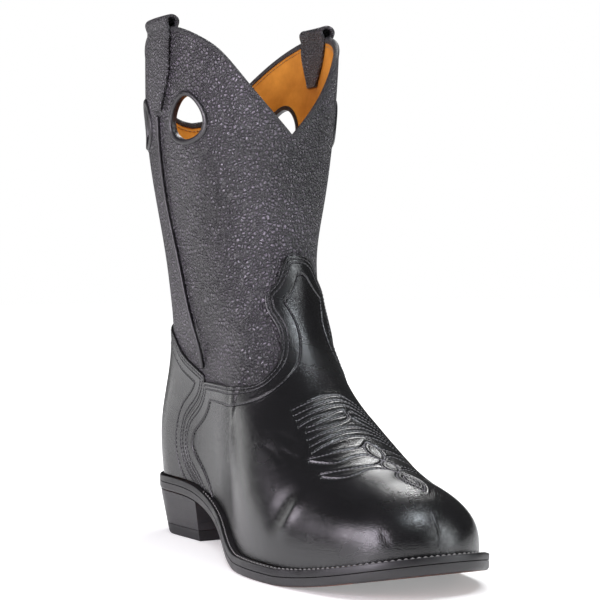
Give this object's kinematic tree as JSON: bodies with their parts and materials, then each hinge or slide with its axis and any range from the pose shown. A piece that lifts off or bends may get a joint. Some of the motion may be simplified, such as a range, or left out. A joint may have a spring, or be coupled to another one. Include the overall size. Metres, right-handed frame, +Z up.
{
  "type": "roper boot",
  "caption": "Right roper boot: hollow leather shaft with V dips, pull holes and pull straps, winged vamp, welted leather sole and low block heel.",
  "frame": {"origin": "on the floor, on the underside of the heel, 34 mm in front of the back of the sole", "axes": "+Z up, the toe points along -Y, the wearer's right (the outer side of this right boot) is -X"},
  "size_m": [0.1235, 0.307, 0.3216],
  "materials": {
    "outsole_leather": "stained leather sole",
    "welt_leather": "black, waxed edge",
    "insole_leather": "tan, unfinished",
    "heel_leather": "black, waxed edge",
    "top_lift_rubber": "matt black",
    "shaft_leather": "black, pebbled grain",
    "vamp_leather": "black, smooth and polished",
    "counter_leather": "black, smooth and polished",
    "seam_leather": "black piping",
    "strap_leather": "black, pebbled grain",
    "binding_leather": "black binding"
  },
  "bodies": {
    "root": {"outsole": "outsole_leather", "welt": "welt_leather", "insole": "insole_leather", "heel_stack": "heel_leather", "heel_top_lift": "top_lift_rubber", "upper": "shaft_leather", "vamp": "vamp_leather", "counter": "counter_leather", "side_seam_lateral": "seam_leather", "side_seam_medial": "seam_leather", "pull_strap_lateral": "strap_leather", "pull_strap_medial": "strap_leather", "hole_binding_front_lateral": "binding_leather", "hole_binding_back_lateral": "binding_leather", "hole_binding_front_medial": "binding_leather", "hole_binding_back_medial": "binding_leather"}
  },
  "joints": []
}
